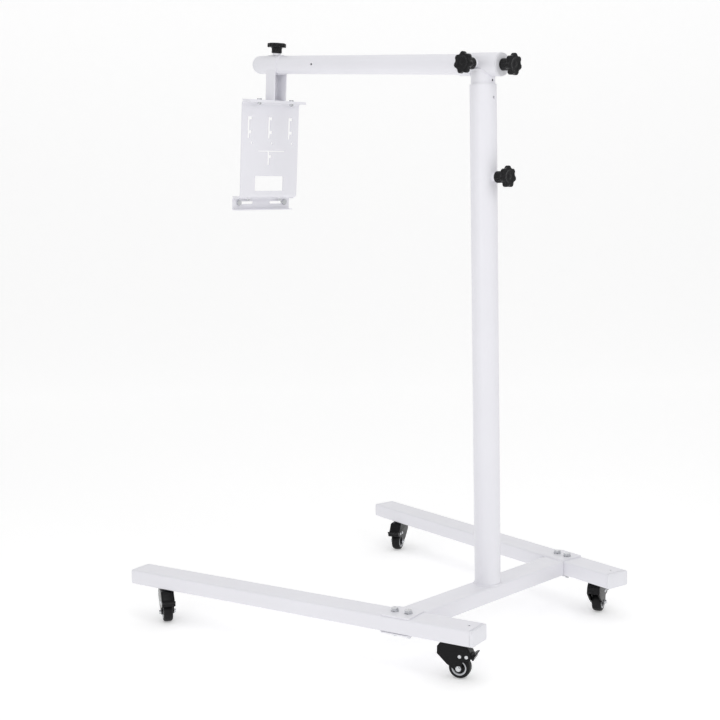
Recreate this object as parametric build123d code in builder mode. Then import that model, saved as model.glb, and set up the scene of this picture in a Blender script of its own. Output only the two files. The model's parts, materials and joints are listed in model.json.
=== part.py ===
"""Rolling boom stand: splayed H base on four casters, telescoping column, clamped boom, slotted hanger.

Frame: +Z up, front towards -Y, X = 0 is the middle plane. The origin is on the floor, under the
middle of the overall box. Left is +X (the side on the left hand of a person facing the front).
Lengths are millimetres, angles are degrees.
"""
import os
from math import cos, radians, sin, tan

from build123d import *

# Base
RAIL_W = 68.0            # leg and crossbar tube, width
RAIL_H = 38.0            # leg and crossbar tube, height
RAIL_WALL = 2.0
RAIL_R = 5.0             # outside corner radius of the tube
LEG_LENGTH = 1000.0      # over the end caps
LEG_SPLAY = 11.0         # each leg, away from the middle plane towards the front
LEG_SPREAD = 312.0       # leg centre line to middle plane, at the crossbar
REAR_OVERHANG = 200.0    # crossbar centre line to the legs' rear ends, along the leg
CAP_T = 8.0              # plastic end cap outside the tube
BRACKET_T = 3.0          # sheet of the C-shaped leg brackets
BRACKET_L = 80.0         # along the leg
LEG_BOLT_PITCH = 36.0    # two bolts per leg, along the leg
CORNER_HOLE_D = 6.0      # small hole in the top of each leg near its rear end
CORNER_HOLE_IN = 26.0    # from the rear end

# Casters
WHEEL_D = 50.0
TYRE_W = 24.0
HUB_D = 34.0
CASTER_H = 87.0          # floor to the underside of the leg
STEM_FLANGE_D = 38.0
STEM_FLANGE_T = 3.0
STEM_L = 16.0            # inside the leg
SWIVEL_GAP = 0.4         # stem flange to fork
SWIVEL_RACE_D = 42.0
SWIVEL_RACE_T = 10.0
AXLE_D = 6.1
AXLE_HOLE_D = 6.2
RIVET_D = 4.0
RIVET_HEAD_D = 8.4
RIVET_HEAD_T = 1.8
HUB_BOSS_D = 14.0
HUB_BOSS_HALF = 13.6     # centre of the wheel to the face of its hub
DISH = 2.5               # depth of the dish in each face of the core, and its rim
LEVER_W = 26.8
PAD_W = 34.0
TRAIL = 26.0
CASTER_REAR = 122.0      # swivel axis behind the crossbar line, along the leg
CASTER_FRONT = -715.0    # and in front of it
FORK_W = 33.0
FORK_T = 2.5
PIN_Z = 53.0             # height of the two rivets across the fork
PIN_NEAR = 29.0          # their distances from the swivel axis, along the trail
PIN_PEDAL = 44.6
HEADINGS = {             # trail direction of each caster at rest, from +X towards +Y
    "front_left": 60.0,
    "rear_left": 114.0,
    "front_right": 22.0,
    "rear_right": 198.0,
}

# Column and mast
COLUMN_D = 63.5
COLUMN_WALL = 2.0
COLUMN_L = 1193.0
MAST_D = 57.0
MAST_WALL = 2.0
MAST_BELOW = 560.0       # mast inside the column when it is down
MAST_TOP = 1227.0        # highest point of the mast's saddle, above the crossbar
COLUMN_KNOB_H = 980.0    # clamp knob above the crossbar
COLUMN_HOLE_H = 1163.0   # small hole above the crossbar
SMALL_HOLE_D = 6.0
BUSH_L = 20.0
BUSH_LIP = 1.5
FIT = 0.1                # radial running clearance
LIP_GAP = 0.1            # lip of a liner to the end of its tube

# Boom and its sleeve, in the boom's own frame: x = X, y backwards along the boom, z up from it
BOOM_RISE = 5.0          # degrees, front end up
BOOM_H = 1240.0          # boom axis over the top of the crossbar, at the column
BOOM_D = 48.0
BOOM_WALL = 2.0
BOOM_FRONT = 774.0       # column axis to the centre of the round front cap
CAP_JOINT = 760.0        # column axis to the joint between tube and cap
SLEEVE_D = 54.0
SLEEVE_WALL = 2.0
SLEEVE_FRONT = 63.0
SLEEVE_REAR = 54.0
SLEEVE_KNOB = 4.0        # clamp knob in front of the column axis
SLEEVE_LIP = 1.5
BOOM_HOLE = 554.0        # small hole in the boom's left side, in front of the column axis

# Hanger, in the boom's frame
HANGER = 715.0           # collar centre in front of the column axis
COLLAR_D = 52.0
COLLAR_L = 50.0
CHANNEL_W = 44.0
CHANNEL_DEPTH = 38.0
SHEET_T = 3.0
BEND_R = 8.0             # mounting plate bends, at the middle of the sheet
SMALL_BEND_R = 4.0       # bracket, channel and C-bracket bends
FOOT_T = 4.0
FLANGE_L = 33.0          # depth of the top and bottom flanges
PLATE_W = 206.0
PLATE_TOP = 98.0         # outside of the plate's top flange, below the boom axis
PLATE_H = 259.0          # over both flanges
PLATE_R = 9.0            # lower corner radius
HOLE_D = 7.0
HOLE_PITCH = 73.5
HOLE_SHIFT = -7.0        # the hole row sits off centre
HOLE_DROP = 111.0        # below the top flange
SLOT_W = 7.0
SLOT_X = 8.0             # long bar of each hook slot, from the column of slots
SLOT_ARM = 15.0          # hook slot over its arms
SLOT_L = 57.0
SLOT_DROP = 41.5
ARM_DROP = 37.0          # second arm below the first
SLIT_L = 98.0
SLIT_H = 2.0
SLIT_DROP = 131.5
LOW_SLOT_L = 36.0
LOW_ARM = 10.0
WINDOW_W = 103.0
WINDOW_H = 40.0
WINDOW_DROP = 200.0
FOOT_SCREW_X = 58.0
BRACKET_H = 35.0
BRACKET_LIP = 18.0
BRACKET_BOLT_X = 83.0
BRACKET_BOLT_DROP = 15.0
BRACKET_SLOT_L = 60.0
BOLT_TAIL = 7.0          # thread beyond the sheet
TOP_SCREW_Y = 20.0       # flange screws, backwards from the plate's front face
LOW_SCREW_Y = -17.0      # and forwards of it, at the bottom flange

# Hand knobs with M10 studs
KNOB_D = 52.0
KNOB_T = 12.0            # lobed head
KNOB_HUB_D = 28.0
KNOB_HUB_L = {"column": 26.0, "sleeve": 26.0, "hanger": 15.0, "end": 26.0}
LOBES = 7
LOBE_SHARE = 0.135       # radius of a lobe, of the knob's diameter
STUD_IN_KNOB = 6.0       # stud beyond the hub, in the head
STUD_D = 10.0
STUD_HOLE_D = 10.6
PAD_D = 8.0
PAD_L = 4.0
PAD_GAP = 0.2            # pad to tube when done up
BOSS_D = 22.0
BOSS_T = {"column": 7.0, "sleeve": 7.0, "hanger": 4.0}
KNOB_GAP = 0.5           # boss to hub when done up
END_WASHER_D = 52.0
END_WASHER_T = 2.0
END_GAP = 0.5            # washer to the boom's end
END_THREAD = 13.0        # end stud in the plug

# Fasteners
M10_FLATS = 17.0         # hexagon across its flats
M10_HEAD = 6.4
M10_NUT = 8.0
M10_HOLE_D = 10.5
WASHER_D = 20.0
WASHER_T = 2.0
LEG_BOLT_TAIL = 14.0     # beyond the lower washer
M6_FLATS = 10.0
M6_D = 6.0
M6_NUT = 5.0
M6_HOLE_D = 6.6
SCREW_HEAD_D = 13.0
SCREW_HEAD_T = 3.4
PAN_HEAD_D = 15.0
PAN_HEAD_T = 4.2

# Places that follow from the above
RAIL_BOTTOM = CASTER_H
RAIL_TOP = RAIL_BOTTOM + RAIL_H
RAIL_MID = RAIL_BOTTOM + RAIL_H / 2
RAIL_BORE_W = RAIL_W - 2 * RAIL_WALL
RAIL_BORE_H = RAIL_H - 2 * RAIL_WALL
SPLAY = radians(LEG_SPLAY)
RISE = radians(BOOM_RISE)
REAR_REACH = REAR_OVERHANG * cos(SPLAY) + RAIL_W / 2 * sin(SPLAY)
TAIL_Y = HANGER + CHANNEL_DEPTH / 2 + FLANGE_L - SHEET_T + BOLT_TAIL
TAIL_Z = PLATE_TOP + PLATE_H + BRACKET_BOLT_DROP + 3
FRONT_REACH = TAIL_Y * cos(RISE) + TAIL_Z * sin(RISE)    # the bracket bolts' tips are foremost
CROSS_Y = (FRONT_REACH - REAR_REACH) / 2
BOOM_R = BOOM_D / 2
PLATE_Y = -(HANGER + CHANNEL_DEPTH / 2)      # front face of the mounting plate
PLATE_BOTTOM = PLATE_TOP + PLATE_H


def inside(frame, origin, x_dir, z_dir):
    """A plane given by its origin and directions in another plane's coordinates."""
    def turned(v):
        return frame.x_dir * v[0] + frame.y_dir * v[1] + frame.z_dir * v[2]
    return Plane(frame.origin + turned(origin), x_dir=turned(x_dir), z_dir=turned(z_dir))


def save(piece, name):
    piece.label = name
    export_step(piece, f"parts/{name}.step")


def leg_frame(side):
    """On the floor under the leg's crossing with the crossbar line, y backwards along the leg."""
    return Plane((side * LEG_SPREAD, CROSS_Y, 0), x_dir=(cos(SPLAY), side * sin(SPLAY), 0), z_dir=(0, 0, 1))


COLUMN = Plane((0, CROSS_Y, RAIL_TOP))
BOOM = Plane((0, CROSS_Y, RAIL_TOP + BOOM_H), x_dir=(1, 0, 0), z_dir=(0, sin(RISE), cos(RISE)))
SIDES = {"left": 1, "right": -1}
BOLT_YS = [-LEG_BOLT_PITCH / 2, LEG_BOLT_PITCH / 2]


# ---------------------------------------------------------------- base
def leg(side):
    frame = leg_frame(side)
    length = LEG_LENGTH - 2 * CAP_T
    start = inside(frame, (0, REAR_OVERHANG - CAP_T, RAIL_MID), (1, 0, 0), (0, -1, 0))
    with BuildPart() as tube:
        with BuildSketch(start):
            RectangleRounded(RAIL_W, RAIL_H, RAIL_R)
            RectangleRounded(RAIL_BORE_W, RAIL_BORE_H, RAIL_R - RAIL_WALL, mode=Mode.SUBTRACT)
        extrude(amount=length)
        with BuildSketch(inside(frame, (0, 0, RAIL_BOTTOM - 1), (1, 0, 0), (0, 0, 1))):
            with Locations(*[(0, y) for y in BOLT_YS]):
                Circle(M10_HOLE_D / 2)
        extrude(amount=RAIL_H + 2, mode=Mode.SUBTRACT)
        with BuildSketch(inside(frame, (0, 0, RAIL_BOTTOM - 1), (1, 0, 0), (0, 0, 1))):
            with Locations((0, CASTER_REAR), (0, CASTER_FRONT)):
                Circle(M10_HOLE_D / 2)
        extrude(amount=RAIL_WALL + 2, mode=Mode.SUBTRACT)
        with BuildSketch(inside(frame, (0, REAR_OVERHANG - CORNER_HOLE_IN, RAIL_TOP - RAIL_WALL - 1),
                                (1, 0, 0), (0, 0, 1))):
            Circle(CORNER_HOLE_D / 2)
        extrude(amount=RAIL_WALL + 2, mode=Mode.SUBTRACT)
    return tube.part


def leg_caps():
    """Plastic plugs: a flat end outside the tube and a spigot inside it."""
    with BuildPart() as caps:
        for side in SIDES.values():
            frame = leg_frame(side)
            for y, out in ((REAR_OVERHANG - CAP_T, 1), (REAR_OVERHANG + CAP_T - LEG_LENGTH, -1)):
                with BuildSketch(inside(frame, (0, y, RAIL_MID), (1, 0, 0), (0, out, 0))):
                    RectangleRounded(RAIL_W, RAIL_H, RAIL_R)
                extrude(amount=CAP_T)
                with BuildSketch(inside(frame, (0, y, RAIL_MID), (1, 0, 0), (0, -out, 0))):
                    RectangleRounded(RAIL_BORE_W, RAIL_BORE_H, RAIL_R - RAIL_WALL)
                    RectangleRounded(RAIL_W - 5 * RAIL_WALL, RAIL_H - 5 * RAIL_WALL, 2, mode=Mode.SUBTRACT)
                extrude(amount=14)
    return caps.part


def leg_bracket(side):
    """C of 3 mm sheet round the leg: back plate towards the crossbar, top and bottom plates."""
    frame = leg_frame(side)
    back = -side * (RAIL_W + BRACKET_T) / 2
    outer = side * RAIL_W / 2
    height = (RAIL_H + BRACKET_T) / 2
    with BuildPart() as bracket:
        with BuildSketch(inside(frame, (0, BRACKET_L / 2, RAIL_MID), (1, 0, 0), (0, -1, 0))):
            with BuildLine():
                FilletPolyline((outer, height), (back, height), (back, -height), (outer, -height),
                               radius=SMALL_BEND_R)
            trace(line_width=BRACKET_T)
        extrude(amount=BRACKET_L)
        upright_edges = bracket.edges().filter_by(Axis.Z).sort_by(Axis((0, 0, 0), tuple(frame.x_dir)))
        fillet(upright_edges[-4:] if side > 0 else upright_edges[:4], 8)
        with BuildSketch(inside(frame, (0, 0, RAIL_BOTTOM - 2 * BRACKET_T), (1, 0, 0), (0, 0, 1))):
            with Locations(*[(0, y) for y in BOLT_YS]):
                Circle(M10_HOLE_D / 2)
        extrude(amount=RAIL_H + 4 * BRACKET_T, mode=Mode.SUBTRACT)
    return bracket.part


def bolt_places():
    """Leg frames and bolt positions along the leg, for the four leg bolts."""
    return [(leg_frame(side), y) for side in SIDES.values() for y in BOLT_YS]


def leg_bolts():
    with BuildPart() as bolts:
        for frame, y in bolt_places():
            seat = RAIL_TOP + BRACKET_T + WASHER_T
            with BuildSketch(inside(frame, (0, y, seat), (1, 0, 0), (0, 0, 1))):
                RegularPolygon(M10_FLATS / 2, 6, major_radius=False)
            extrude(amount=M10_HEAD)
            with BuildSketch(inside(frame, (0, y, seat), (1, 0, 0), (0, 0, -1))):
                Circle(STUD_D / 2)
            extrude(amount=RAIL_H + 2 * (BRACKET_T + WASHER_T) + LEG_BOLT_TAIL - WASHER_T)
    return bolts.part


def leg_washers():
    with BuildPart() as washers:
        for frame, y in bolt_places():
            for z in (RAIL_TOP + BRACKET_T, RAIL_BOTTOM - BRACKET_T - WASHER_T):
                with BuildSketch(inside(frame, (0, y, z), (1, 0, 0), (0, 0, 1))):
                    Circle(WASHER_D / 2)
                    Circle(M10_HOLE_D / 2, mode=Mode.SUBTRACT)
                extrude(amount=WASHER_T)
    return washers.part


def leg_nuts():
    with BuildPart() as nuts:
        for frame, y in bolt_places():
            seat = RAIL_BOTTOM - BRACKET_T - WASHER_T
            with BuildSketch(inside(frame, (0, y, seat), (1, 0, 0), (0, 0, -1))):
                RegularPolygon(M10_FLATS / 2, 6, major_radius=False)
                Circle(STUD_D / 2, mode=Mode.SUBTRACT)
            extrude(amount=M10_NUT)
    return nuts.part


def crossbar():
    """Tube between the bracket back plates, its ends cut to the legs' splay."""
    half_mid = LEG_SPREAD - (RAIL_W / 2 + BRACKET_T) / cos(SPLAY)
    lean = tan(SPLAY) * RAIL_W / 2
    rear = (half_mid - lean, CROSS_Y + RAIL_W / 2)
    front = (half_mid + lean, CROSS_Y - RAIL_W / 2)
    corners = [rear, front, (-front[0], front[1]), (-rear[0], rear[1])]
    with BuildPart() as bar:
        with BuildSketch(Plane.XY.offset(RAIL_BOTTOM)):
            with BuildLine():
                Polyline(*corners, close=True)
            make_face()
        extrude(amount=RAIL_H)
        fillet(bar.edges().filter_by(Axis.X), RAIL_R)
        with BuildSketch(Plane.YZ.offset(-LEG_SPREAD)):
            with Locations((CROSS_Y, RAIL_MID)):
                RectangleRounded(RAIL_BORE_W, RAIL_BORE_H, RAIL_R - RAIL_WALL)
        extrude(amount=2 * LEG_SPREAD, mode=Mode.SUBTRACT)
    return bar.part


def column_tube():
    rear_wall = (0, COLUMN_D / 2 - COLUMN_WALL - 2, 0)
    with BuildPart() as tube:
        with BuildSketch(COLUMN):
            Circle(COLUMN_D / 2)
            Circle(COLUMN_D / 2 - COLUMN_WALL, mode=Mode.SUBTRACT)
        extrude(amount=COLUMN_L)
        for height, size in ((COLUMN_KNOB_H, STUD_HOLE_D), (COLUMN_HOLE_H, SMALL_HOLE_D)):
            place = (rear_wall[0], rear_wall[1], height)
            with BuildSketch(inside(COLUMN, place, (1, 0, 0), (0, 1, 0))):
                Circle(size / 2)
            extrude(amount=COLUMN_WALL + 4, mode=Mode.SUBTRACT)
    return tube.part


def caster_stems():
    """Threaded stem, flange and nut of each caster, fixed in the leg's lower wall."""
    with BuildPart() as stems:
        for side in SIDES.values():
            for y in (CASTER_REAR, CASTER_FRONT):
                frame = leg_frame(side)
                with BuildSketch(inside(frame, (0, y, RAIL_BOTTOM - STEM_FLANGE_T), (1, 0, 0), (0, 0, 1))):
                    Circle(STEM_FLANGE_D / 2)
                extrude(amount=STEM_FLANGE_T)
                with BuildSketch(inside(frame, (0, y, RAIL_BOTTOM), (1, 0, 0), (0, 0, 1))):
                    Circle(STUD_D / 2)
                extrude(amount=STEM_L)
                with BuildSketch(inside(frame, (0, y, RAIL_BOTTOM + RAIL_WALL), (1, 0, 0), (0, 0, 1))):
                    RegularPolygon(M10_FLATS / 2, 6, major_radius=False)
                extrude(amount=M10_NUT)
    return stems.part


# ---------------------------------------------------------------- casters
def caster_frame(corner):
    """On the floor under the swivel axis, x along the trail."""
    end, side = corner.split("_")
    y = CASTER_REAR if end == "rear" else CASTER_FRONT
    place = inside(leg_frame(SIDES[side]), (0, y, 0), (1, 0, 0), (0, 0, 1))
    heading = radians(HEADINGS[corner])
    return Plane(place.origin, x_dir=(cos(heading), sin(heading), 0), z_dir=(0, 0, 1))


def upright(frame, y=0.0):
    """Plane along the trail: its x is the trail, its y is up, and it faces the caster's -y side."""
    return inside(frame, (0, y, 0), (1, 0, 0), (0, -1, 0))


def fork(corner):
    """Swivel housing and its two cheeks, in one folded sheet, reaching back over the wheel."""
    frame = caster_frame(corner)
    top = RAIL_BOTTOM - STEM_FLANGE_T - SWIVEL_GAP
    axle = (TRAIL, WHEEL_D / 2)
    cheek = [(-24, 57), (-24, 72), (-15, top), (42, top), (53, 63), (56, 54), (52, 44), (35, 41),
             (TRAIL + 8, 26), (TRAIL, 17), (TRAIL - 8, 21), (-1, 34)]
    with BuildPart() as housing:
        with BuildSketch(upright(frame)):
            with BuildLine():
                Polyline(*cheek, close=True)
            make_face()
        extrude(amount=FORK_W / 2, both=True)
        with BuildSketch(upright(frame)):
            with Locations((39.25, 34)):
                Rectangle(121.5, 84)
        extrude(amount=FORK_W / 2 - FORK_T, both=True, mode=Mode.SUBTRACT)
        across = housing.edges().filter_by(Axis((0, 0, 0), tuple(frame.y_dir)))
        fillet(across.group_by(SortBy.LENGTH)[-1], 3)
        with BuildSketch(upright(frame)):
            with Locations(axle):
                Circle(AXLE_HOLE_D / 2)
            with Locations((PIN_NEAR, PIN_Z), (PIN_PEDAL, PIN_Z)):
                Circle(RIVET_D / 2)
        extrude(amount=FORK_W, both=True, mode=Mode.SUBTRACT)
        with BuildSketch(inside(frame, (0, 0, top), (1, 0, 0), (0, 0, 1))):
            Circle(SWIVEL_RACE_D / 2)
        extrude(amount=-SWIVEL_RACE_T)
    return housing.part


def tyre(corner):
    """Rubber tread with a rounded crown, as a ring on the wheel core."""
    frame = caster_frame(corner)
    r = WHEEL_D / 2
    half = TYRE_W / 2
    inner = HUB_D / 2
    section = inside(frame, (TRAIL, 0, r), (0, 1, 0), (1, 0, 0))
    with BuildPart() as ring:
        with BuildSketch(section):
            with BuildLine():
                Polyline((-half, inner), (half, inner), (half, r - 5))
                ThreePointArc((half, r - 5), (0, r), (-half, r - 5))
                Line((-half, r - 5), (-half, inner))
            make_face()
        revolve(axis=Axis(tuple(section.origin), tuple(frame.y_dir)))
    return ring.part


def wheel_core(corner):
    """Grey plastic core: hub and web, with a shallow dish in each face."""
    frame = caster_frame(corner)
    with BuildPart() as core:
        with BuildSketch(upright(frame)):
            with Locations((TRAIL, WHEEL_D / 2)):
                Circle(HUB_D / 2)
        extrude(amount=TYRE_W / 2, both=True)
        for out in (1, -1):
            with BuildSketch(upright(frame, out * TYRE_W / 2)):
                with Locations((TRAIL, WHEEL_D / 2)):
                    Circle(HUB_D / 2 - DISH)
                    Circle(HUB_BOSS_D / 2, mode=Mode.SUBTRACT)
            extrude(amount=out * DISH, mode=Mode.SUBTRACT)
        with BuildSketch(upright(frame)):
            with Locations((TRAIL, WHEEL_D / 2)):
                Circle(HUB_BOSS_D / 2)
        extrude(amount=HUB_BOSS_HALF, both=True)
        with BuildSketch(upright(frame)):
            with Locations((TRAIL, WHEEL_D / 2)):
                Circle(AXLE_HOLE_D / 2)
        extrude(amount=FORK_W, both=True, mode=Mode.SUBTRACT)
    return core.part


def caster_pins(corner):
    """Axle bolt with head and nut, and the two rivets across the fork."""
    frame = caster_frame(corner)
    axle = (TRAIL, WHEEL_D / 2)
    with BuildPart() as pins:
        with BuildSketch(upright(frame)):
            with Locations(axle):
                Circle(AXLE_D / 2)
        extrude(amount=FORK_W / 2 + 2, both=True)
        for out in (1, -1):
            with BuildSketch(upright(frame, -out * FORK_W / 2)):
                with Locations(axle):
                    RegularPolygon(M6_FLATS / 2, 6, major_radius=False)
            extrude(amount=out * M6_NUT)
        for x in (PIN_NEAR, PIN_PEDAL):
            with BuildSketch(upright(frame)):
                with Locations((x, PIN_Z)):
                    Circle(RIVET_D / 2)
            extrude(amount=FORK_W / 2 + RIVET_HEAD_T / 2, both=True)
            for out in (1, -1):
                with BuildSketch(upright(frame, -out * FORK_W / 2)):
                    with Locations((x, PIN_Z)):
                        Circle(RIVET_HEAD_D / 2)
                extrude(amount=out * RIVET_HEAD_T)
    return pins.part


def pedal(corner):
    """Brake pedal: a lever on the rear rivet and a broad curved foot pad behind the fork."""
    frame = caster_frame(corner)
    lever = [(38, 57.5), (38, 49.5), (43.5, 46), (52, 48), (58, 47), (58, 58)]
    pad = [(57.5, 46), (61, 46.5), (63.5, 55), (67.5, 60), (66, 62), (60.5, 60), (57.5, 58)]
    with BuildPart() as brake:
        with BuildSketch(upright(frame)):
            with BuildLine():
                Polyline(*lever, close=True)
            make_face()
        extrude(amount=LEVER_W / 2, both=True)
        with BuildSketch(upright(frame)):
            with BuildLine():
                Polyline(*pad, close=True)
            make_face()
        extrude(amount=PAD_W / 2, both=True)
        with BuildSketch(upright(frame)):
            with Locations((PIN_PEDAL, PIN_Z)):
                Circle(RIVET_D / 2 + FIT)
        extrude(amount=FORK_W, both=True, mode=Mode.SUBTRACT)
    return brake.part


# ---------------------------------------------------------------- mast and sleeve
def column_bush():
    """Nylon liner in the mouth of the column, with a thin lip over its rim."""
    with BuildPart() as liner:
        with BuildSketch(COLUMN.offset(COLUMN_L + LIP_GAP - BUSH_L)):
            Circle(COLUMN_D / 2 - COLUMN_WALL - 1.5 * FIT)
            Circle(MAST_D / 2 + FIT, mode=Mode.SUBTRACT)
        extrude(amount=BUSH_L)
        with BuildSketch(COLUMN.offset(COLUMN_L + LIP_GAP)):
            Circle(COLUMN_D / 2 - 0.3)
            Circle(MAST_D / 2 + FIT, mode=Mode.SUBTRACT)
        extrude(amount=BUSH_LIP)
    return liner.part


def mast_tube():
    """Inner tube, its top cut to the underside of the sleeve, with one small hole at the back."""
    with BuildPart() as tube:
        with BuildSketch(COLUMN.offset(COLUMN_L - MAST_BELOW)):
            Circle(MAST_D / 2)
            Circle(MAST_D / 2 - MAST_WALL, mode=Mode.SUBTRACT)
        extrude(amount=MAST_TOP - COLUMN_L + MAST_BELOW)
        with BuildSketch(inside(BOOM, (0, -2 * MAST_D, 0), (1, 0, 0), (0, 1, 0))):
            Circle(SLEEVE_D / 2)
        extrude(amount=4 * MAST_D, mode=Mode.SUBTRACT)
        with BuildSketch(inside(COLUMN, (0, MAST_D / 2 - 4, COLUMN_L + 9), (1, 0, 0), (0, 1, 0))):
            Circle(SMALL_HOLE_D / 2)
        extrude(amount=8, mode=Mode.SUBTRACT)
    return tube.part


def boom_sleeve():
    with BuildPart() as sleeve:
        with BuildSketch(inside(BOOM, (0, -SLEEVE_FRONT, 0), (1, 0, 0), (0, 1, 0))):
            Circle(SLEEVE_D / 2)
            Circle(SLEEVE_D / 2 - SLEEVE_WALL, mode=Mode.SUBTRACT)
        extrude(amount=SLEEVE_FRONT + SLEEVE_REAR)
        with BuildSketch(inside(BOOM, (BOOM_R, -SLEEVE_KNOB, 0), (0, 1, 0), (1, 0, 0))):
            Circle(STUD_HOLE_D / 2)
        extrude(amount=6, mode=Mode.SUBTRACT)
    return sleeve.part


def boom_bushes():
    """Nylon liner at each end of the sleeve, lips outside."""
    bore = SLEEVE_D / 2 - SLEEVE_WALL
    with BuildPart() as liners:
        for mouth, out in ((-SLEEVE_FRONT, -1), (SLEEVE_REAR, 1)):
            face = mouth + out * LIP_GAP
            with BuildSketch(inside(BOOM, (0, face, 0), (1, 0, 0), (0, -out, 0))):
                Circle(bore - 1.5 * FIT)
                Circle(BOOM_R + FIT, mode=Mode.SUBTRACT)
            extrude(amount=BUSH_L)
            with BuildSketch(inside(BOOM, (0, face, 0), (1, 0, 0), (0, out, 0))):
                Circle(SLEEVE_D / 2 - 0.3)
                Circle(BOOM_R + FIT, mode=Mode.SUBTRACT)
            extrude(amount=SLEEVE_LIP)
    return liners.part


# ---------------------------------------------------------------- boom
def boom_tube():
    rear = SLEEVE_REAR + SLEEVE_LIP
    with BuildPart() as tube:
        with BuildSketch(inside(BOOM, (0, -CAP_JOINT, 0), (1, 0, 0), (0, 1, 0))):
            Circle(BOOM_R)
            Circle(BOOM_R - BOOM_WALL, mode=Mode.SUBTRACT)
        extrude(amount=CAP_JOINT + rear)
        with BuildSketch(inside(BOOM, (BOOM_R - 5, -BOOM_HOLE, 0), (0, 1, 0), (1, 0, 0))):
            Circle(SMALL_HOLE_D / 2)
        extrude(amount=8, mode=Mode.SUBTRACT)
    return tube.part


def boom_cap():
    """Round plastic cap: a short cylinder, a dome and a spigot in the tube."""
    section = inside(BOOM, (0, -BOOM_FRONT, 0), (0, -1, 0), (1, 0, 0))
    back = BOOM_FRONT - CAP_JOINT
    with BuildPart() as cap:
        with BuildSketch(section):
            with BuildLine():
                Line((-back, 0), (-back, BOOM_R))
                Line((-back, BOOM_R), (0, BOOM_R))
                CenterArc((0, 0), BOOM_R, 0, 90)
                Line((BOOM_R, 0), (-back, 0))
            make_face()
        revolve(axis=Axis(tuple(section.origin), tuple(BOOM.y_dir)))
        with BuildSketch(inside(BOOM, (0, -CAP_JOINT, 0), (1, 0, 0), (0, 1, 0))):
            Circle(BOOM_R - BOOM_WALL)
            Circle(BOOM_R - 3 * BOOM_WALL, mode=Mode.SUBTRACT)
        extrude(amount=20)
    return cap.part


def boom_plug():
    """Steel plug pressed in the rear end, threaded for the end knob."""
    with BuildPart() as plug:
        with BuildSketch(inside(BOOM, (0, SLEEVE_REAR + SLEEVE_LIP, 0), (1, 0, 0), (0, -1, 0))):
            Circle(BOOM_R - BOOM_WALL)
            Circle(STUD_D / 2 + FIT, mode=Mode.SUBTRACT)
        extrude(amount=16)
    return plug.part


# ---------------------------------------------------------------- hanger
def hang(x, y, z):
    """A point of the hanger: x left, y backwards from the plate's front face, z down from the boom."""
    return (x, PLATE_Y + y, -z)


def collar():
    with BuildPart() as ring:
        with BuildSketch(inside(BOOM, (0, -HANGER - COLLAR_L / 2, 0), (1, 0, 0), (0, 1, 0))):
            Circle(COLLAR_D / 2)
            Circle(BOOM_R + FIT, mode=Mode.SUBTRACT)
        extrude(amount=COLLAR_L)
        with BuildSketch(inside(BOOM, (0, -HANGER, BOOM_R + 1.0), (1, 0, 0), (0, 0, 1))):
            Circle(BOSS_D / 2)
        extrude(amount=COLLAR_D / 2 - BOOM_R - 1.0 + BOSS_T["hanger"])
        with BuildSketch(inside(BOOM, (0, -HANGER, BOOM_R - 1), (1, 0, 0), (0, 0, 1))):
            Circle(STUD_D / 2 + FIT)
        extrude(amount=16, mode=Mode.SUBTRACT)
    return ring.part


def hanger_channel():
    """U channel, open towards the back, from the collar down to the foot plate."""
    drop = PLATE_TOP - FOOT_T
    depth = CHANNEL_DEPTH
    wall = (CHANNEL_W - SHEET_T) / 2
    web = SHEET_T / 2
    with BuildPart() as channel:
        with BuildSketch(inside(BOOM, hang(0, 0, drop), (1, 0, 0), (0, 0, 1))):
            with BuildLine():
                FilletPolyline((-wall, depth), (-wall, web), (wall, web), (wall, depth),
                               radius=SMALL_BEND_R)
            trace(line_width=SHEET_T)
        extrude(amount=drop - COLLAR_D / 4)
        with BuildSketch(inside(BOOM, (0, -HANGER - COLLAR_L, 0), (1, 0, 0), (0, 1, 0))):
            Circle(COLLAR_D / 2)
        extrude(amount=2 * COLLAR_L, mode=Mode.SUBTRACT)
    return channel.part


def screw_holes(depth_mid, drop, reach):
    """Two M6 clearance holes down through a flange, cut from the part being built."""
    with BuildSketch(inside(BOOM, hang(0, depth_mid, drop), (1, 0, 0), (0, 0, -1))) as pair:
        with Locations((FOOT_SCREW_X, 0), (-FOOT_SCREW_X, 0)):
            Circle(M6_HOLE_D / 2)
    extrude(pair.sketch, amount=reach, mode=Mode.SUBTRACT)


def foot_plate():
    with BuildPart() as foot:
        with BuildSketch(inside(BOOM, hang(0, FLANGE_L / 2, PLATE_TOP), (1, 0, 0), (0, 0, 1))):
            RectangleRounded(PLATE_W, FLANGE_L, 4)
        extrude(amount=FOOT_T)
        screw_holes(TOP_SCREW_Y, PLATE_TOP - FOOT_T - 1, FOOT_T + 2)
    return foot.part


def hook_slot(x, drop, length, arms):
    """Upright slot with short arms towards the right, as closed rectangles in the plate sketch."""
    with Locations((x + SLOT_X - SLOT_W / 2, -drop - length / 2)):
        Rectangle(SLOT_W, length, mode=Mode.ADD)
    for arm in arms:
        with Locations((x + SLOT_X - SLOT_ARM / 2, -drop - arm - SLOT_W / 2)):
            Rectangle(SLOT_ARM, SLOT_W, mode=Mode.ADD)


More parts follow.
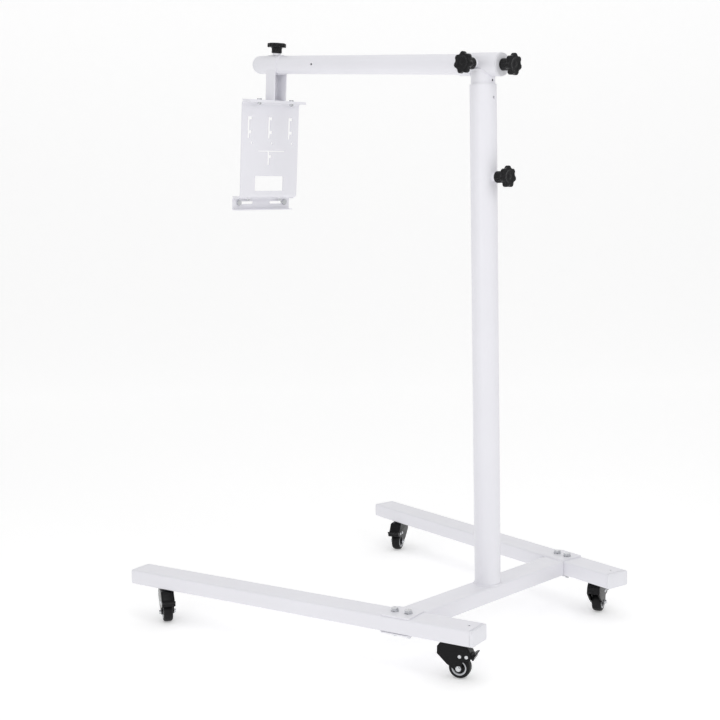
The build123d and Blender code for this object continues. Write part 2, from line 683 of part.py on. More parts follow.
def mounting_plate():
    """Plate with a top flange bent backwards, a bottom flange bent forwards and its cut-outs."""
    front = inside(BOOM, hang(0, 0, PLATE_TOP), (1, 0, 0), (0, -1, 0))
    middle = SHEET_T / 2
    with BuildPart() as plate:
        with BuildSketch(inside(BOOM, hang(-PLATE_W / 2, 0, 0), (0, 1, 0), (1, 0, 0))):
            with BuildLine():
                FilletPolyline((FLANGE_L, -PLATE_TOP - middle), (middle, -PLATE_TOP - middle),
                               (middle, -PLATE_BOTTOM + middle),
                               (SHEET_T - FLANGE_L, -PLATE_BOTTOM + middle), radius=BEND_R)
            trace(line_width=SHEET_T)
        extrude(amount=PLATE_W)
        with BuildSketch(front.offset(SHEET_T)):
            for column in (-1, 0, 1):
                hook_slot(column * HOLE_PITCH, SLOT_DROP, SLOT_L, (0, ARM_DROP))
                with Locations((column * HOLE_PITCH + HOLE_SHIFT, -HOLE_DROP)):
                    Circle(HOLE_D / 2)
            with Locations((HOLE_SHIFT, -SLIT_DROP - SLIT_H / 2)):
                Rectangle(SLIT_L, SLIT_H)
            hook_slot(0, SLIT_DROP + SLIT_H, LOW_SLOT_L, (LOW_ARM,))
            with Locations((0, -WINDOW_DROP - WINDOW_H / 2)):
                RectangleRounded(WINDOW_W, WINDOW_H, 2)
        extrude(amount=-3 * SHEET_T, mode=Mode.SUBTRACT)
        screw_holes(TOP_SCREW_Y, PLATE_TOP - 1, SHEET_T + 2)
        screw_holes(LOW_SCREW_Y, PLATE_BOTTOM - SHEET_T - 1, SHEET_T + 2)
    return plate.part


def lower_bracket():
    """Z-shaped strip under the bottom flange: web with two long slots, and a lip to the back."""
    front = SHEET_T - FLANGE_L
    middle = SHEET_T / 2
    web_top = PLATE_BOTTOM
    with BuildPart() as strip:
        with BuildSketch(inside(BOOM, hang(-PLATE_W / 2, 0, 0), (0, 1, 0), (1, 0, 0))):
            with BuildLine():
                FilletPolyline((-BEND_R, -web_top - middle), (front + middle, -web_top - middle),
                               (front + middle, middle - web_top - BRACKET_H),
                               (front + BRACKET_LIP, middle - web_top - BRACKET_H), radius=SMALL_BEND_R)
            trace(line_width=SHEET_T)
        extrude(amount=PLATE_W)
        slot_mid = BRACKET_BOLT_X + SLOT_W - BRACKET_SLOT_L / 2
        slots = hang(0, front - 1, web_top + BRACKET_BOLT_DROP)
        with BuildSketch(inside(BOOM, slots, (1, 0, 0), (0, 1, 0))):
            with Locations((slot_mid, 0), (-slot_mid, 0)):
                SlotOverall(BRACKET_SLOT_L, SLOT_W)
        extrude(amount=SHEET_T + 2, mode=Mode.SUBTRACT)
        screw_holes(LOW_SCREW_Y, web_top - 1, SHEET_T + 2)
    return strip.part


def flange_places():
    """Depth, drop of the head and grip of the screws through the upper and lower flange joints."""
    return [
        (TOP_SCREW_Y, PLATE_TOP - FOOT_T, FOOT_T + SHEET_T),
        (LOW_SCREW_Y, PLATE_BOTTOM - SHEET_T, 2 * SHEET_T),
    ]


def flange_screws():
    with BuildPart() as screws:
        for y, drop, grip in flange_places():
            for x in (FOOT_SCREW_X, -FOOT_SCREW_X):
                with BuildSketch(inside(BOOM, hang(x, y, drop), (1, 0, 0), (0, 0, 1))):
                    Circle(SCREW_HEAD_D / 2)
                extrude(amount=SCREW_HEAD_T)
                with BuildSketch(inside(BOOM, hang(x, y, drop), (1, 0, 0), (0, 0, -1))):
                    Circle(M6_D / 2)
                extrude(amount=grip + BOLT_TAIL)
    return screws.part


def hanger_nuts():
    """Nuts under the flange screws and behind the two bracket bolts."""
    web_back = 2 * SHEET_T - FLANGE_L
    with BuildPart() as nuts:
        for y, drop, grip in flange_places():
            for x in (FOOT_SCREW_X, -FOOT_SCREW_X):
                with BuildSketch(inside(BOOM, hang(x, y, drop + grip), (1, 0, 0), (0, 0, -1))):
                    RegularPolygon(M6_FLATS / 2, 6, major_radius=False)
                    Circle(M6_D / 2, mode=Mode.SUBTRACT)
                extrude(amount=M6_NUT)
        for x in (BRACKET_BOLT_X, -BRACKET_BOLT_X):
            place = hang(x, web_back - SHEET_T, PLATE_BOTTOM + BRACKET_BOLT_DROP)
            with BuildSketch(inside(BOOM, place, (1, 0, 0), (0, -1, 0))):
                RegularPolygon(M6_FLATS / 2, 6, major_radius=False)
                Circle(M6_D / 2, mode=Mode.SUBTRACT)
            extrude(amount=M6_NUT)
    return nuts.part


def bracket_bolts():
    """Two pan-head bolts through the web slots, heads to the back."""
    web_back = 2 * SHEET_T - FLANGE_L
    with BuildPart() as bolts:
        for x in (BRACKET_BOLT_X, -BRACKET_BOLT_X):
            place = hang(x, web_back, PLATE_BOTTOM + BRACKET_BOLT_DROP)
            with BuildSketch(inside(BOOM, place, (1, 0, 0), (0, 1, 0))):
                Circle(PAN_HEAD_D / 2)
            extrude(amount=PAN_HEAD_T)
            with BuildSketch(inside(BOOM, place, (1, 0, 0), (0, -1, 0))):
                Circle(M6_D / 2)
            extrude(amount=SHEET_T + BOLT_TAIL)
    return bolts.part


# ---------------------------------------------------------------- hand knobs
def knob_planes():
    """For each clamp: the plane on the clamped tube's surface, facing out along the stud."""
    return {
        "column": inside(COLUMN, (0, MAST_D / 2, COLUMN_KNOB_H), (1, 0, 0), (0, 1, 0)),
        "sleeve": inside(BOOM, (BOOM_R, -SLEEVE_KNOB, 0), (0, 1, 0), (1, 0, 0)),
        "hanger": inside(BOOM, (0, -HANGER, BOOM_R), (1, 0, 0), (0, 0, 1)),
    }


KNOBS = knob_planes()
SHELL = {                # clamped tube's surface to the outside of the tube round it
    "column": (COLUMN_D - MAST_D) / 2,
    "sleeve": (SLEEVE_D - BOOM_D) / 2,
    "hanger": (COLLAR_D - BOOM_D) / 2,
}
END = inside(BOOM, (0, SLEEVE_REAR + SLEEVE_LIP + END_GAP, 0), (1, 0, 0), (0, 1, 0))


def boss(name, tube, tube_d):
    """Threaded boss welded to an outer tube, its foot cut to the tube."""
    with BuildPart() as nut:
        with BuildSketch(KNOBS[name]):
            Circle(BOSS_D / 2)
            Circle(STUD_D / 2 + FIT, mode=Mode.SUBTRACT)
        extrude(amount=SHELL[name] + BOSS_T[name])
        with BuildSketch(tube):
            Circle(tube_d / 2)
        extrude(amount=COLUMN_L, both=True, mode=Mode.SUBTRACT)
    return nut.part


def column_boss():
    return boss("column", COLUMN, COLUMN_D)


def sleeve_boss():
    return boss("sleeve", inside(BOOM, (0, 0, 0), (1, 0, 0), (0, 1, 0)), SLEEVE_D)


def pad(name):
    """Nylon pad on the tip of the stud, just clear of the tube."""
    with BuildPart() as tip:
        with BuildSketch(KNOBS[name].offset(PAD_GAP)):
            Circle(PAD_D / 2)
        extrude(amount=PAD_L - PAD_GAP)
    return tip.part


def knob_seat(name):
    """Plane of the underside of the knob's hub."""
    if name == "end":
        return END.offset(END_WASHER_T)
    return KNOBS[name].offset(SHELL[name] + BOSS_T[name] + KNOB_GAP)


def stud(name):
    """Stud from the pad, or from inside the boom's plug, up into the knob."""
    seat = knob_seat(name)
    start = END.offset(-END_THREAD) if name == "end" else KNOBS[name].offset(PAD_L)
    reach = (seat.origin - start.origin).length + KNOB_HUB_L[name] + STUD_IN_KNOB
    with BuildPart() as rod:
        with BuildSketch(start):
            Circle(STUD_D / 2)
        extrude(amount=reach)
    return rod.part


def knob(name):
    """Black star knob: round hub under a lobed head."""
    seat = knob_seat(name)
    lobe_r = KNOB_D * LOBE_SHARE
    with BuildPart() as head:
        with BuildSketch(seat):
            Circle(KNOB_HUB_D / 2)
        extrude(amount=KNOB_HUB_L[name])
        with BuildSketch(seat.offset(KNOB_HUB_L[name])):
            Circle(KNOB_D / 2 - lobe_r * 0.75)
            with PolarLocations(KNOB_D / 2 - lobe_r, LOBES):
                Circle(lobe_r)
        extrude(amount=KNOB_T)
        fillet(head.faces().sort_by(Axis(tuple(seat.origin), tuple(seat.z_dir)))[-1].edges(), 2.5)
        with BuildSketch(seat):
            Circle(STUD_D / 2)
        extrude(amount=KNOB_HUB_L[name] + STUD_IN_KNOB, mode=Mode.SUBTRACT)
    return head.part


def end_washer():
    """Broad washer under the end knob, which stops the boom at the sleeve."""
    with BuildPart() as washer:
        with BuildSketch(END):
            Circle(END_WASHER_D / 2)
            Circle(STUD_HOLE_D / 2, mode=Mode.SUBTRACT)
        extrude(amount=END_WASHER_T)
    return washer.part


BASE_PIECES = (crossbar, leg_caps, leg_bolts, leg_washers, leg_nuts, column_tube, column_boss, caster_stems)
CASTER_PIECES = (fork, tyre, wheel_core, caster_pins, pedal)
UPPER_PIECES = (
    column_bush, mast_tube, boom_sleeve, sleeve_boss, boom_bushes, boom_tube, boom_cap, boom_plug, collar,
    hanger_channel, foot_plate, mounting_plate, lower_bracket, flange_screws, hanger_nuts, bracket_bolts,
    end_washer,
)


def main():
    os.makedirs("parts", exist_ok=True)
    for side_name, side in SIDES.items():
        save(leg(side), f"leg_{side_name}")
        save(leg_bracket(side), f"leg_bracket_{side_name}")
    for make in BASE_PIECES + UPPER_PIECES:
        save(make(), make.__name__)
    for corner in HEADINGS:
        for make in CASTER_PIECES:
            save(make(corner), f"{make.__name__}_{corner}")
    for name in ("column", "sleeve", "hanger", "end"):
        save(knob(name), f"{name}_knob")
        save(stud(name), f"{name}_stud")
    for name in KNOBS:
        save(pad(name), f"{name}_pad")


main()
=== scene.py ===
import json
from math import cos, pi, radians, sin, sqrt, tan

import bmesh
import bpy
from mathutils import Matrix, Vector


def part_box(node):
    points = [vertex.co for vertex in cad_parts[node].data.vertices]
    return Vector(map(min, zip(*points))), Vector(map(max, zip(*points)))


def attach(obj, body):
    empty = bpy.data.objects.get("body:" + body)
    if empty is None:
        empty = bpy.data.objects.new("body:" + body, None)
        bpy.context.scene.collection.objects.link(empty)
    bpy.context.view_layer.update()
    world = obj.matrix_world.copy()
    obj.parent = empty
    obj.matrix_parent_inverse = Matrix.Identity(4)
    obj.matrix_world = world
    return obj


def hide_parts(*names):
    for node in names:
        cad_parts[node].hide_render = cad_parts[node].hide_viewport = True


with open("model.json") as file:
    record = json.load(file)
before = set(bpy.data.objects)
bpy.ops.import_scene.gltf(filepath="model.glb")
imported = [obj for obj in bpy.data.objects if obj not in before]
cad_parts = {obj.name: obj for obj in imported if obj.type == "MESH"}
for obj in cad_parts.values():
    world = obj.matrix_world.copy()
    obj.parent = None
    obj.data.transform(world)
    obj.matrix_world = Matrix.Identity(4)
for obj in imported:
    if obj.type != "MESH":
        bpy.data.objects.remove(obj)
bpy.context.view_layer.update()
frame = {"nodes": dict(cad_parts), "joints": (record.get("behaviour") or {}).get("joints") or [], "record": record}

MM = 0.001
JOINTS = {joint["name"]: joint for joint in frame["joints"]}
CORNERS = ("front_left", "rear_left", "front_right", "rear_right")
SIDES = {"left": 1, "right": -1}
ROUND = 96                # segments round a turned part


# ---------------------------------------------------------------- places, all read from the frame
def basis(origin, x_dir, z_dir):
    """Matrix from local millimetres to the frame's metres."""
    z = Vector(z_dir).normalized()
    x = Vector(x_dir)
    x = (x - z * z.dot(x)).normalized()
    turned = Matrix((x, z.cross(x), z)).transposed().to_4x4()
    turned.translation = Vector(origin)
    return turned @ Matrix.Scale(MM, 4)


def moved(place, x=0.0, y=0.0, z=0.0):
    return place @ Matrix.Translation((x, y, z))


def low(node):
    return Vector(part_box(node)[0])


def high(node):
    return Vector(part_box(node)[1])


BOOM_BACK = Vector(JOINTS["boom_turn"]["axis"])
BOOM_ORIGIN = Vector(JOINTS["boom_turn"]["pos_m"])
BOOM_UP = Vector((1, 0, 0)).cross(BOOM_BACK)
# x left, y up from the boom, z backwards along it
BOOM = basis(BOOM_ORIGIN, (1, 0, 0), BOOM_BACK)
# x left, y backwards along the boom, z up from it
HEAD = basis(BOOM_ORIGIN, (1, 0, 0), BOOM_UP)
COLUMN_FOOT = Vector(JOINTS["mast_turn"]["pos_m"])
COLUMN = basis(COLUMN_FOOT, (1, 0, 0), (0, 0, 1))
RAIL_TOP = high("crossbar").z
RAIL_BOTTOM = low("crossbar").z


def knob_place(name):
    """On the clamped tube's surface under a knob, z outwards along its stud."""
    joint = JOINTS[name + "_screw_turn"]
    side = (0, 0, 1) if abs(joint["axis"][2]) < 0.5 else (1, 0, 0)
    return basis(joint["pos_m"], side, joint["axis"])


def caster_place(corner):
    """On the floor under the swivel axis: x along the trail, z up."""
    swivel = Vector(JOINTS["swivel_" + corner]["pos_m"])
    axle = Vector(JOINTS["roll_" + corner]["pos_m"])
    trail = axle - swivel
    trail.z = 0
    return basis((swivel.x, swivel.y, 0), trail, (0, 0, 1))


def leg_place(side):
    """On the floor under the middle of a leg's crossing with the crossbar line: y backwards along it."""
    rear = Vector(JOINTS["swivel_rear_" + side]["pos_m"])
    front = Vector(JOINTS["swivel_front_" + side]["pos_m"])
    back = (rear - front).normalized()
    share = (COLUMN_FOOT.y - front.y) / back.y
    crossing = front + back * share
    return basis((crossing.x, crossing.y, 0), back.cross(Vector((0, 0, 1))), (0, 0, 1))


# ---------------------------------------------------------------- materials
def new_material(name):
    material = bpy.data.materials.new(name)
    material.use_nodes = True
    nodes = material.node_tree.nodes
    return material, nodes, material.node_tree.links, nodes["Principled BSDF"]


def noise(nodes, links, scale, detail=3.0):
    """Noise in the object's own metres."""
    coords = nodes.new("ShaderNodeTexCoord")
    texture = nodes.new("ShaderNodeTexNoise")
    texture.inputs["Scale"].default_value = scale
    texture.inputs["Detail"].default_value = detail
    links.new(coords.outputs["Object"], texture.inputs["Vector"])
    return texture.outputs["Fac"]


def ramp(nodes, links, source, low_value, high_value, start=0.3, end=0.7):
    """Noise mapped to a range of numbers or of colours."""
    node = nodes.new("ShaderNodeValToRGB")
    node.color_ramp.elements[0].position = start
    node.color_ramp.elements[1].position = end
    for element, value in zip(node.color_ramp.elements, (low_value, high_value)):
        element.color = value if isinstance(value, tuple) else (value, value, value, 1)
    links.new(source, node.inputs["Fac"])
    return node.outputs["Color"]


def bump(nodes, links, shader, height, strength, distance):
    node = nodes.new("ShaderNodeBump")
    node.inputs["Strength"].default_value = strength
    node.inputs["Distance"].default_value = distance
    links.new(height, node.inputs["Height"])
    links.new(node.outputs["Normal"], shader.inputs["Normal"])


def shade(colour, factor):
    return tuple(channel * factor for channel in colour) + (1,)


def finish_material(name, colour, rough, vary=0.03, patch=9.0, grain=1400.0, grain_strength=0.1, grain_depth=0.0002,
                    metallic=0.0, coat=0.0, coat_rough=0.1, specular=0.5):
    """Colour and roughness that drift over large patches, with a fine surface grain as bump."""
    material, nodes, links, shader = new_material(name)
    drift = noise(nodes, links, patch, 4.0)
    links.new(ramp(nodes, links, drift, shade(colour, 1 - vary), shade(colour, 1 + vary)), shader.inputs["Base Color"])
    gloss = noise(nodes, links, patch * 5, 3.0)
    links.new(ramp(nodes, links, gloss, rough[0], rough[1]), shader.inputs["Roughness"])
    bump(nodes, links, shader, noise(nodes, links, grain, 2.0), grain_strength, grain_depth)
    shader.inputs["Metallic"].default_value = metallic
    shader.inputs["Coat Weight"].default_value = coat
    shader.inputs["Coat Roughness"].default_value = coat_rough
    shader.inputs["Specular IOR Level"].default_value = specular
    return material


POWDER = finish_material("powder_coat_white", (0.82, 0.815, 0.86), (0.34, 0.46), vary=0.012, patch=6.0, grain=900.0,
                         grain_strength=0.22, grain_depth=0.0003, coat=0.15, coat_rough=0.25)
CAP = finish_material("plastic_white", (0.81, 0.81, 0.85), (0.42, 0.55), vary=0.01, patch=20.0, grain=2600.0,
                      grain_strength=0.25, grain_depth=0.00015)
ZINC = finish_material("zinc_plate", (0.62, 0.63, 0.65), (0.14, 0.30), vary=0.07, patch=60.0, grain=1800.0,
                       grain_strength=0.08, metallic=1.0)
NYLON = finish_material("nylon_natural", (0.80, 0.80, 0.83), (0.38, 0.5), vary=0.02, patch=30.0, grain=2200.0)
KNOB = finish_material("plastic_gloss_black", (0.008, 0.008, 0.009), (0.16, 0.30), vary=0.15, patch=40.0, grain=700.0,
                       grain_strength=0.05, specular=0.22)
FORK = finish_material("black_coat", (0.006, 0.006, 0.007), (0.12, 0.26), vary=0.15, patch=50.0, grain=1500.0,
                       grain_strength=0.15, grain_depth=0.0002, specular=0.16)
TYRE = finish_material("rubber_black", (0.010, 0.010, 0.011), (0.34, 0.5), vary=0.12, patch=45.0, grain=2400.0,
                       grain_strength=0.3, grain_depth=0.0002, specular=0.16)
CORE = finish_material("plastic_grey", (0.56, 0.57, 0.60), (0.35, 0.48), vary=0.03, patch=60.0, grain=2400.0)

SLOT_MATERIALS = {"powder_white": POWDER, "cap_white": CAP, "zinc": ZINC, "nylon": NYLON, "knob_black": KNOB,
                  "fork_black": FORK, "tyre_black": TYRE, "core_grey": CORE}


# ---------------------------------------------------------------- mesh tools, local millimetres
def add_piece(name, mesh_or_bmesh, place, body, slot, replaces=(), bevel=0.0, thickness=0.0, sharp=32.0):
    """Make a closed mesh into a piece: folded sheet from a surface, softened edges, smooth shading."""
    if isinstance(mesh_or_bmesh, bmesh.types.BMesh):
        bmesh.ops.remove_doubles(mesh_or_bmesh, verts=mesh_or_bmesh.verts, dist=0.002)
        bmesh.ops.recalc_face_normals(mesh_or_bmesh, faces=mesh_or_bmesh.faces)
        mesh = bpy.data.meshes.new(name)
        mesh_or_bmesh.to_mesh(mesh)
        mesh_or_bmesh.free()
    else:
        mesh = mesh_or_bmesh
    piece = bpy.data.objects.new(name, mesh)
    bpy.context.scene.collection.objects.link(piece)
    if thickness:
        sheet = piece.modifiers.new("sheet", "SOLIDIFY")
        sheet.thickness = thickness
        sheet.offset = -1
        sheet.use_even_offset = True
    if bevel:
        edge = piece.modifiers.new("edge", "BEVEL")
        edge.width = bevel
        edge.segments = 3
        edge.limit_method = "ANGLE"
        edge.angle_limit = radians(sharp)
        edge.use_clamp_overlap = True
    if thickness or bevel:
        built = bpy.data.meshes.new_from_object(piece.evaluated_get(bpy.context.evaluated_depsgraph_get()))
        piece.modifiers.clear()
        piece.data = built
    piece.data.transform(place)
    smooth(piece.data, sharp)
    piece.data.materials.clear()
    piece.data.materials.append(SLOT_MATERIALS[slot])
    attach(piece, body)
    if replaces:
        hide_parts(*replaces)


def smooth(mesh, sharp):
    """Smooth shading with hard edges where two faces meet at more than the sharp angle."""
    work = bmesh.new()
    work.from_mesh(mesh)
    for face in work.faces:
        face.smooth = True
    for edge in work.edges:
        if len(edge.link_faces) == 2:
            edge.smooth = edge.calc_face_angle(0.0) < radians(sharp)
    work.to_mesh(mesh)
    work.free()


def loft(rings, closed_ends=True, loop=False):
    """Skin a list of rings of points, all of one length; the ends are capped with a fan."""
    work = bmesh.new()
    rows = [[work.verts.new(point) for point in ring] for ring in rings]
    pairs = list(zip(rows, rows[1:]))
    if loop:
        pairs.append((rows[-1], rows[0]))
    for first, second in pairs:
        for i in range(len(first)):
            k = (i + 1) % len(first)
            work.faces.new((first[i], first[k], second[k], second[i]))
    if closed_ends and not loop:
        for row in (rows[0], rows[-1]):
            middle = work.verts.new(sum((v.co for v in row), Vector()) / len(row))
            for i in range(len(row)):
                work.faces.new((row[i], row[(i + 1) % len(row)], middle))
    return work


def ring(radius, z, count=ROUND):
    """Circle of points; radius may be a function of the angle."""
    points = []
    for i in range(count):
        angle = 2 * pi * i / count
        r = radius(angle) if callable(radius) else radius
        points.append((r * cos(angle), r * sin(angle), z))
    return points


def turned(profile, count=ROUND, loop=False):
    """Turned part from (radius, height) pairs; a loop profile makes a ring with a hole."""
    return loft([ring(r, z, count) for r, z in profile], not loop, loop)


def arc(cx, cy, radius, start, end, steps=8):
    """Points of a circular arc, angles in degrees."""
    angles = [radians(start + (end - start) * i / steps) for i in range(steps + 1)]
    return [(cx + radius * cos(a), cy + radius * sin(a)) for a in angles]


def rounded_outline(corners, radius, steps=5):
    """Closed outline with every corner rounded by at most the radius."""
    points = []
    count = len(corners)
    for i in range(count):
        here = Vector(corners[i])
        before = Vector(corners[i - 1]) - here
        after = Vector(corners[(i + 1) % count]) - here
        half = before.angle(after) / 2
        reach = min(radius / tan(half), before.length * 0.45, after.length * 0.45)
        start = here + before.normalized() * reach
        end = here + after.normalized() * reach
        for k in range(steps + 1):
            t = k / steps
            points.append(tuple(start * (1 - t) ** 2 + here * 2 * t * (1 - t) + end * t ** 2))
    return points


def slab(outline, start, end):
    """Outline in x and z, pushed through from y = start to y = end."""
    return loft([[(x, y, z) for x, z in outline] for y in (start, end)])


def hexagon(across):
    """Radius of a hexagon, across its flats, at an angle."""
    def radius(angle):
        return across / 2 / cos((angle + pi / 6) % (pi / 3) - pi / 6)
    return radius


def hex_head(across, height, base=0.0):
    """Hexagonal head or nut with its corners chamfered at 30 degrees."""
    edge = hexagon(across)
    flat = across * 0.47
    count = 72
    crown = []
    for i in range(count):
        angle = 2 * pi * i / count
        r = edge(angle)
        crown.append((r * cos(angle), r * sin(angle), base + height - (r - flat) * tan(radians(30))))
    return loft([ring(edge, base, count), crown, ring(flat, base + height, count)])


def join(parts):
    """Several bmeshes, each with an optional matrix, as one."""
    work = bmesh.new()
    for part, matrix in parts:
        if matrix is not None:
            part.transform(matrix)
        mesh = bpy.data.meshes.new("part")
        bmesh.ops.recalc_face_normals(part, faces=part.faces)
        part.to_mesh(mesh)
        part.free()
        work.from_mesh(mesh)
        bpy.data.meshes.remove(mesh)
    return work


def at(x=0.0, y=0.0, z=0.0):
    return Matrix.Translation((x, y, z))


def bead(path, radius, closed=True, pitch=3.2):
    """Weld bead along a path: a low ridge with the ripples of a torch."""
    points = [Vector(p) for p in path]
    count = len(points)
    rings = []
    travel = 0.0
    for i, point in enumerate(points):
        ahead = points[(i + 1) % count] if closed or i < count - 1 else point
        behind = points[i - 1] if closed or i > 0 else point
        along = (ahead - behind).normalized()
        side = along.cross(Vector((0, 0, 1)))
        side = side.normalized() if side.length > 0.2 else along.cross(Vector((1, 0, 0))).normalized()
        up = side.cross(along)
        size = radius * (1 + 0.13 * abs(sin(pi * travel / pitch)))
        taper = 1.0 if closed else min(1.0, 0.35 + 0.4 * min(i, count - 1 - i))
        rings.append([tuple(point + (side * cos(a) + up * sin(a)) * size * taper)
                      for a in (2 * pi * k / 10 for k in range(10))])
        travel += (ahead - point).length
    return loft(rings, not closed, closed)


def fine(path, step=0.8, closed=True):
    """Points along straight stretches, close enough for a weld's ripples."""
    points = []
    stretches = list(zip(path, path[1:] + path[:1] if closed else path[1:]))
    for start, end in stretches:
        start, end = Vector(start), Vector(end)
        parts = max(1, int((end - start).length / step))
        points += [tuple(start.lerp(end, k / parts)) for k in range(parts)]
    if not closed:
        points.append(tuple(path[-1]))
    return points


# ---------------------------------------------------------------- sizes of the pieces, millimetres
RAIL_W = 68.0
RAIL_H = (RAIL_TOP - RAIL_BOTTOM) / MM
RAIL_R = 5.0
RAIL_MID = (RAIL_TOP + RAIL_BOTTOM) / 2 / MM
SPLAY = radians(11.0)     # leg against the crossbar line
LEG_FRONT = -800.0        # ends of a leg, along it from the crossbar line
LEG_REAR = 200.0
CAP_T = 8.0
BRACKET_T = 3.0
LEG_BOLT_PITCH = 36.0
COLUMN_R = 31.75
SLEEVE_R = 27.0
MAST_R = 28.5
WHEEL_R = 25.0
TRAIL = 26.0              # axle behind the swivel axis
RIVET_R = 4.2
RIVET_H = 1.9
FORK_HALF = 16.5
PINS = ((29.0, 53.0), (44.6, 53.0))
CAP_R = 23.9              # boom's end cap: short cylinder and dome
CAP_RIM = 14.0
CAP_START = -760.0        # its seam, along the boom
CAP_FULLNESS = 0.8        # 1 is a half sphere, less is fuller
BOLT_FLATS = 16.8         # leg bolts and nuts, just inside the CAD hexagon
BOLT_HEAD = 6.3
NUT_HEIGHT = 7.9
WASHER_T = 2.0
SEAT = {"column": 10.75, "sleeve": 10.5, "hanger": 6.5, "end": 2.0}   # hub underside over the tube
HUB_L = {"column": 26.0, "sleeve": 26.0, "hanger": 15.0, "end": 26.0}


# ---------------------------------------------------------------- star knobs
def lobed(size, waist, lobes=7):
    """Outline of a star knob: round lobes that run into a waist circle."""
    lobe = size * 0.27
    reach = size - lobe

    def radius(angle):
        off = (angle + pi / lobes) % (2 * pi / lobes) - pi / lobes
        inside = lobe ** 2 - (reach * sin(off)) ** 2
        outer = reach * cos(off) + sqrt(inside) if inside > 0 else 0.0
        return max(outer, waist) + 0.5 * max(0.0, 1.2 - abs(outer - waist))
    return radius


def knob_mesh(hub):
    """Star knob, hub underside at z = 0: ribbed hub under a lobed head with a shallow dished face."""
    count = 280
    star = lobed(25.7, 21.6)

    def ribbed(size, depth):
        return lambda angle: size - depth * (0.5 - 0.5 * cos(14 * angle)) ** 3
    rings = [ring(r, z, count) for r, z in ((6.0, 0.0), (12.6, 0.0), (13.4, 0.3), (13.9, 1.0), (13.95, 2.0))]
    rings += [ring(ribbed(13.95, 0.2), 3.0, count), ring(ribbed(13.9, 1.0), 4.2, count),
              ring(ribbed(13.7, 1.1), hub * 0.6, count), ring(ribbed(14.1, 1.1), hub - 3.0, count),
              ring(ribbed(15.0, 0.8), hub - 1.2, count), ring(16.4, hub - 0.3, count), ring(17.6, hub, count)]
    for t in range(7):
        a = pi / 2 * t / 6
        rings.append(ring(lambda w, a=a: star(w) - 2.2 * (1 - sin(a)), hub + 2.2 - 2.2 * cos(a), count))
    for t in range(9):
        a = pi / 2 * t / 8
        rings.append(ring(lambda w, a=a: star(w) - 3.0 * (1 - cos(a)), hub + 8.6 + 2.6 * sin(a), count))
    rings += [ring(r, hub + z, count) for r, z in ((17.0, 11.7), (16.2, 11.7), (15.6, 11.4), (15.2, 10.9),
                                                   (14.8, 10.6), (6.0, 10.3), (5.4, 10.6), (4.8, 10.9), (2.0, 11.0))]
    return loft(rings)


for knob_name in SEAT:
    add_piece(f"{knob_name}_star_knob", knob_mesh(HUB_L[knob_name]), moved(knob_place(knob_name), z=SEAT[knob_name]),
              f"{knob_name}_screw", "knob_black", [f"{knob_name}_knob"], sharp=40)


# ---------------------------------------------------------------- casters
def fork_mesh():
    """Folded sheet over the wheel: round-edged band in front and on top, free edges below."""
    band = [(-24, 57), (-24, 72), (-15, 83.4), (42, 83.4), (53, 63)]
    free = [(56, 54), (52, 44), (35, 41), (34, 26), (26, 17), (18, 21), (-1, 34)]
    outline = rounded_outline(band + free, 5.0, 6)
    middle = Vector((15, 60))
    count = len(outline)
    share = []
    for i, (x, z) in enumerate(outline):
        near = min(1.0, max(0.0, (z - 60) / 7.0)) if x > -20 else min(1.0, max(0.0, (z - 57) / 6.0))
        share.append(near if z > 57 else 0.0)
    normals = []
    for i in range(count):
        tangent = Vector(outline[(i + 1) % count]) - Vector(outline[i - 1])
        normal = Vector((tangent.y, -tangent.x)).normalized()
        normals.append(normal if normal.dot(middle - Vector(outline[i])) > 0 else -normal)

    def level(inset, y):
        return [(outline[i][0] + normals[i].x * inset * share[i], y, outline[i][1] + normals[i].y * inset * share[i])
                for i in range(count)]
    steps = 6
    rounded = [(4.0 * (1 - cos(pi / 2 * k / steps)), FORK_HALF - 4.0 + 4.0 * sin(pi / 2 * k / steps))
               for k in range(steps + 1)]
    levels = [level(inset, y) for inset, y in reversed(rounded)] + [level(inset, -y) for inset, y in rounded]
    work = bmesh.new()
    rows = [[work.verts.new(point) for point in row] for row in levels]
    for j, (first, second) in enumerate(zip(rows, rows[1:])):
        for i in range(count):
            k = (i + 1) % count
            crown = share[i] > 0.0 or share[k] > 0.0
            if crown or j != steps:
                work.faces.new((first[i], first[k], second[k], second[i]))
    work.faces.new(rows[0])
    work.faces.new(list(reversed(rows[-1])))
    return work


def tyre_mesh():
    """Rubber ring with a rounded crown and small shoulders, turned about y."""
    profile = [(17.0, -11.9), (19.2, -11.9)]
    profile += [(WHEEL_R - 0.1 - 6.0 * abs(t) ** 3.2, 11.9 * sin(pi / 2 * t)) for t in (k / 12 for k in range(-12, 13))]
    profile += [(19.2, 11.9), (17.0, 11.9)]
    return turned(profile, 120, loop=True)


def core_mesh():
    """Rim of the wheel core: a raised ring on both faces."""
    half = [(13.4, 9.6), (13.7, 9.9), (14.1, 11.4), (14.5, 12.0), (16.4, 12.1), (17.0, 11.7)]
    profile = [(r, -y) for r, y in half] + [(r, y) for r, y in reversed(half)]
    return turned(profile, 96, loop=True)


def dish_mesh():
    """Dished web and hub inside the rim."""
    half = [(3.1, 13.4), (6.2, 13.4), (6.8, 13.0), (7.0, 12.4), (7.2, 10.2), (7.8, 9.7), (13.5, 9.7)]
    profile = [(r, -y) for r, y in half] + [(r, y) for r, y in reversed(half)]
    return turned(profile, 96, loop=True)


def domed(radius, height, base=0.0, foot=0.35):
    """Domed head: a short cylinder under a spherical cap."""
    profile = [(radius, base), (radius, base + height * foot)]
    profile += [(radius * cos(a), base + height * (foot + (1 - foot) * sin(a)))
                for a in (pi / 2 * k / 8 for k in range(1, 8))]
    return turned(profile, 48)


SIDEWAYS = Matrix.Rotation(-pi / 2, 4, "X")        # z of a turned piece to y
OTHER_WAY = Matrix.Rotation(pi / 2, 4, "X")


